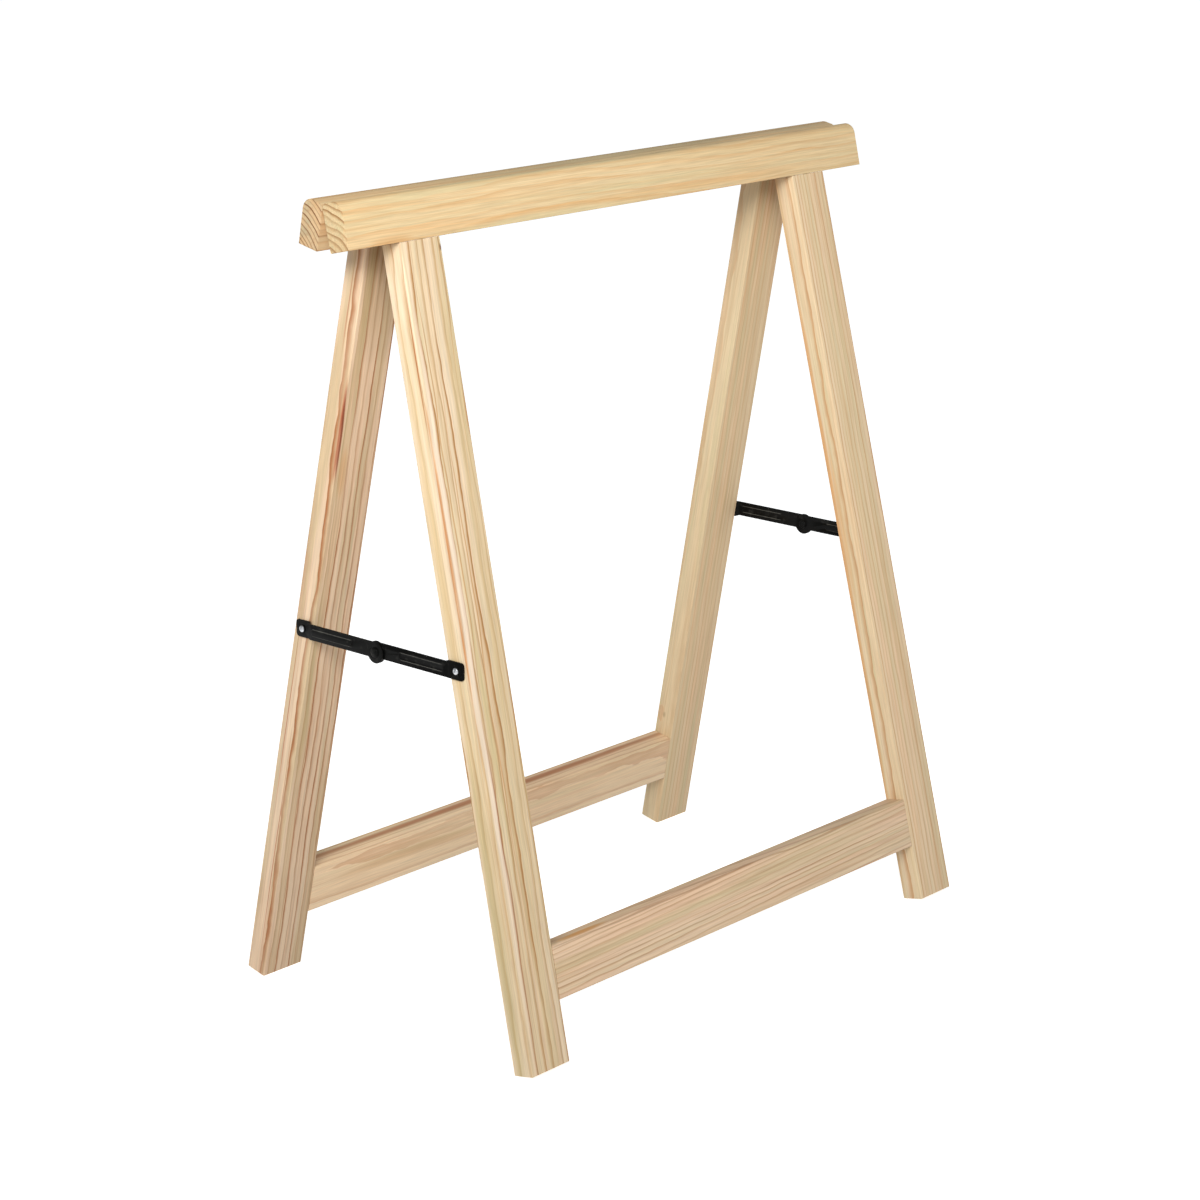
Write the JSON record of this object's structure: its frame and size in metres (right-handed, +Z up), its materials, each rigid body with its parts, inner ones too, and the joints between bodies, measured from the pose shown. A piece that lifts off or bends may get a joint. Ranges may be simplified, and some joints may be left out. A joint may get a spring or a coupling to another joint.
{
  "type": "folding sawhorse",
  "caption": "Folding A-shaped wooden sawhorse: pine frames with leaning legs and low stretchers, hinged along their top rails and held open by jointed black steel stays at the ends.",
  "frame": {"origin": "on the floor, under the middle of the open sawhorse", "axes": "+X along the rails towards the right end, +Y across the fold towards the back frame, +Z up"},
  "size_m": [0.678, 0.3746, 0.7497],
  "materials": {
    "pine_rail": "planed pine, clear, warm yellow",
    "pine_leg": "planed pine, clear",
    "pine_stretcher": "planed pine, clear",
    "beech_dowel": "plain beech",
    "black_steel": "satin black coating on pressed steel",
    "zinc_steel": "bright zinc plating"
  },
  "bodies": {
    "back_frame": {"back_rail": "pine_rail", "back_stretcher": "pine_stretcher", "back_left_leg": "pine_leg", "back_left_rail_dowel_1": "beech_dowel", "back_left_stretcher_dowel_1": "beech_dowel", "back_left_rail_dowel_2": "beech_dowel", "back_left_stretcher_dowel_2": "beech_dowel", "left_hinge_back_leaf": "zinc_steel", "left_hinge_back_screw_1": "zinc_steel", "left_hinge_back_screw_2": "zinc_steel", "left_hinge_back_screw_3": "zinc_steel", "left_hinge_pin": "zinc_steel", "left_stay_back_screw": "zinc_steel", "back_right_leg": "pine_leg", "back_right_rail_dowel_1": "beech_dowel", "back_right_stretcher_dowel_1": "beech_dowel", "back_right_rail_dowel_2": "beech_dowel", "back_right_stretcher_dowel_2": "beech_dowel", "right_hinge_back_leaf": "zinc_steel", "right_hinge_back_screw_1": "zinc_steel", "right_hinge_back_screw_2": "zinc_steel", "right_hinge_back_screw_3": "zinc_steel", "right_hinge_pin": "zinc_steel", "right_stay_back_screw": "zinc_steel"},
    "front_frame": {"front_rail": "pine_rail", "front_stretcher": "pine_stretcher", "front_left_leg": "pine_leg", "front_left_rail_dowel_1": "beech_dowel", "front_left_stretcher_dowel_1": "beech_dowel", "front_left_rail_dowel_2": "beech_dowel", "front_left_stretcher_dowel_2": "beech_dowel", "left_hinge_front_leaf": "zinc_steel", "left_hinge_front_screw_1": "zinc_steel", "left_hinge_front_screw_2": "zinc_steel", "left_hinge_front_screw_3": "zinc_steel", "left_stay_front_screw": "zinc_steel", "front_right_leg": "pine_leg", "front_right_rail_dowel_1": "beech_dowel", "front_right_stretcher_dowel_1": "beech_dowel", "front_right_rail_dowel_2": "beech_dowel", "front_right_stretcher_dowel_2": "beech_dowel", "right_hinge_front_leaf": "zinc_steel", "right_hinge_front_screw_1": "zinc_steel", "right_hinge_front_screw_2": "zinc_steel", "right_hinge_front_screw_3": "zinc_steel", "right_stay_front_screw": "zinc_steel"},
    "left_stay_back_arm": {"left_stay_back_arm": "black_steel", "left_stay_rivet_head": "black_steel"},
    "right_stay_back_arm": {"right_stay_back_arm": "black_steel", "right_stay_rivet_head": "black_steel"},
    "left_stay_front_arm": {"left_stay_front_arm": "black_steel", "left_stay_rivet_tail": "black_steel"},
    "right_stay_front_arm": {"right_stay_front_arm": "black_steel", "right_stay_rivet_tail": "black_steel"}
  },
  "joints": [
    {"name": "fold", "type": "hinge", "parent": "back_frame", "child": "front_frame", "pos_m": [0, 0, 0.73901], "axis": [1, 0, 0], "range_deg": [0, 25]},
    {"name": "left_stay_back_pivot", "type": "hinge", "parent": "back_frame", "child": "left_stay_back_arm", "pos_m": [-0.29256, 0.09807, 0.35206], "axis": [-1, 0, 0], "range_deg": [0, 71.69]},
    {"name": "left_stay_front_pivot", "type": "hinge", "parent": "front_frame", "child": "left_stay_front_arm", "pos_m": [-0.29256, -0.09807, 0.35206], "axis": [1, 0, 0], "range_deg": [0, 71.69]},
    {"name": "right_stay_back_pivot", "type": "hinge", "parent": "back_frame", "child": "right_stay_back_arm", "pos_m": [0.29256, 0.09807, 0.35206], "axis": [-1, 0, 0], "range_deg": [0, 71.69]},
    {"name": "right_stay_front_pivot", "type": "hinge", "parent": "front_frame", "child": "right_stay_front_arm", "pos_m": [0.29256, -0.09807, 0.35206], "axis": [1, 0, 0], "range_deg": [0, 71.69]}
  ],
  "couplings": [
    {"joint": "left_stay_back_pivot", "follows": "fold", "ratio": 2.8657},
    {"joint": "left_stay_front_pivot", "follows": "fold", "ratio": 2.8657},
    {"joint": "right_stay_back_pivot", "follows": "fold", "ratio": 2.8657},
    {"joint": "right_stay_front_pivot", "follows": "fold", "ratio": 2.8657}
  ]
}
